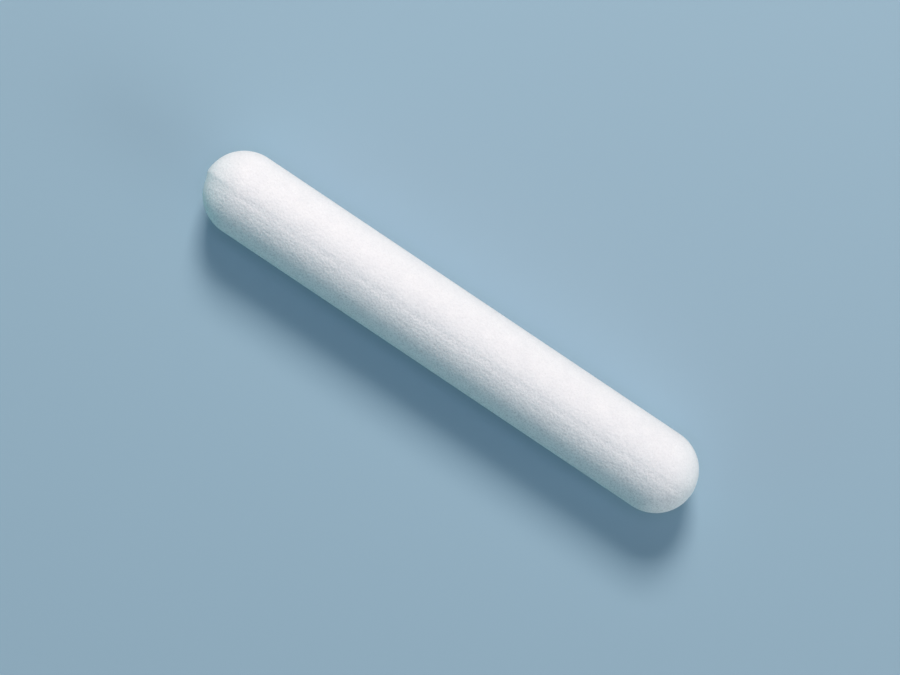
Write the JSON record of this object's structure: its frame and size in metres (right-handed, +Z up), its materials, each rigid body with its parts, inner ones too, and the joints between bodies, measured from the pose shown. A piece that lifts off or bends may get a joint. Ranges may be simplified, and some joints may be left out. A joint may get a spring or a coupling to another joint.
{
  "type": "magnetic stir bar",
  "caption": "Round white fluoropolymer stir bar with domed ends and a dressed parting line, moulded in one piece around a magnet rod that a stirrer turns.",
  "frame": {"origin": "centre of the bar", "axes": "+X along the bar's length, +Z up through the dressed parting line's top land, which lies a little to the -Y side"},
  "size_m": [0.0604, 0.009, 0.009],
  "materials": {
    "jacket": "moulded and sintered PTFE, matte white with a fine grain",
    "magnet": "cast alnico, ground to size"
  },
  "bodies": {
    "root": {"jacket": "jacket", "magnet_core": "magnet"}
  },
  "joints": []
}
